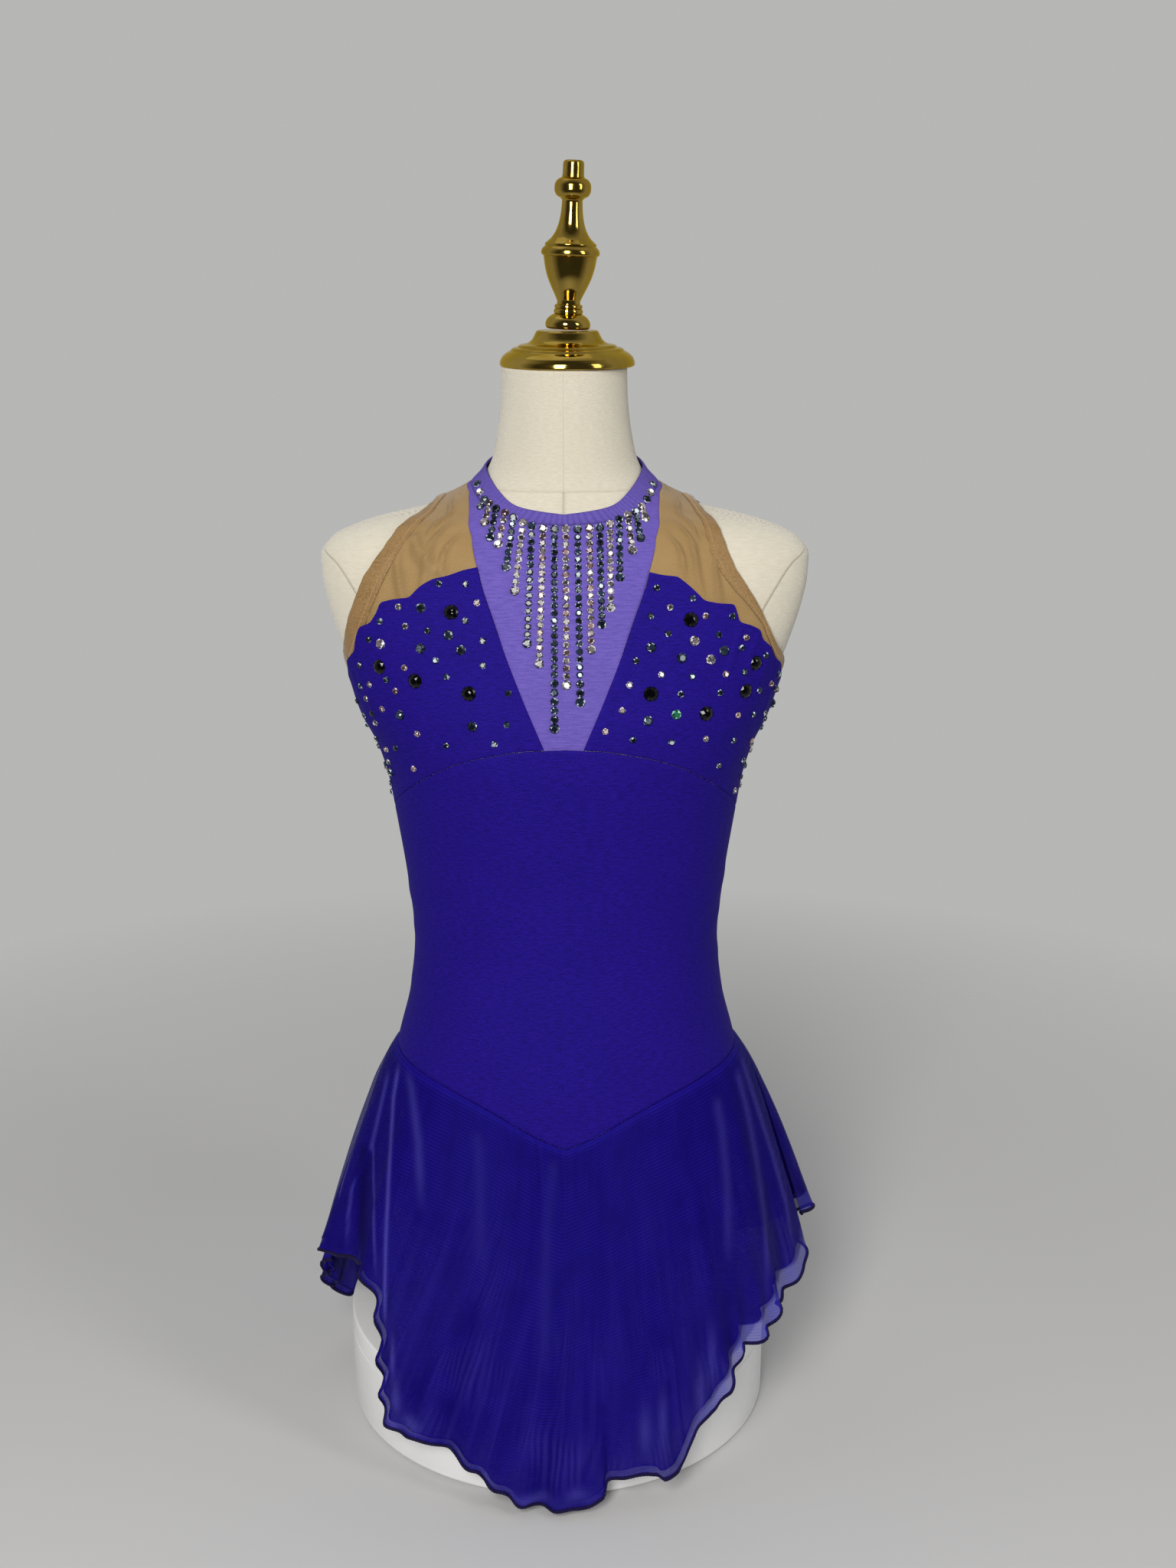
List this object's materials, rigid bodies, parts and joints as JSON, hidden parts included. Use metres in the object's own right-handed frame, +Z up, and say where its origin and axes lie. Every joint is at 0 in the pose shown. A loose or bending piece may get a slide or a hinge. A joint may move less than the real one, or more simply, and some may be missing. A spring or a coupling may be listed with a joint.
{
  "type": "figure skating dress on dress form",
  "caption": "Child's figure skating dress with halter neck, scalloped bust, V waist and flared sheer skirt, worn by a limbless dress form with finial on a round display stand.",
  "frame": {"origin": "middle of the bounding box at the underside of the display stand", "axes": "+Z up along the form; the dress faces -Y; +X to the viewer's right"},
  "size_m": [0.3746, 0.3575, 0.8767],
  "materials": {
    "lavender_knit": "matt stretch knit",
    "royal_knit": "satin stretch knit with a fine cross rib",
    "sheer_mesh": "sheer stretch mesh",
    "skin_mesh": "matt power mesh",
    "linen": "plain weave linen",
    "gold": "polished",
    "stand_white": "satin white",
    "jewel": "faceted, nearly black",
    "button": "dyed to match"
  },
  "bodies": {
    "root": {"neckband": "lavender_knit", "neck_button": "button", "centre_front_panel": "lavender_knit", "yoke_front_left": "skin_mesh", "yoke_front_right": "skin_mesh", "yoke_back_left": "skin_mesh", "yoke_back_right": "skin_mesh", "armhole_binding_left": "skin_mesh", "armhole_binding_right": "skin_mesh", "bust_left": "royal_knit", "bust_right": "royal_knit", "front_body": "royal_knit", "back_body": "royal_knit", "brief_front": "royal_knit", "brief_back": "royal_knit", "brief_gusset": "royal_knit", "skirt_front_outer": "sheer_mesh", "skirt_front_under": "sheer_mesh", "skirt_back_outer": "sheer_mesh", "skirt_back_under": "sheer_mesh", "bust_jewel_1": "jewel", "bust_jewel_2": "jewel", "bust_jewel_3": "jewel", "bust_jewel_4": "jewel", "bust_jewel_5": "jewel", "bust_jewel_6": "jewel", "bust_jewel_7": "jewel", "bust_jewel_8": "jewel", "bust_jewel_9": "jewel", "form_torso": "linen", "neck_cap": "gold", "finial": "gold", "display_stand": "stand_white"}
  },
  "joints": []
}
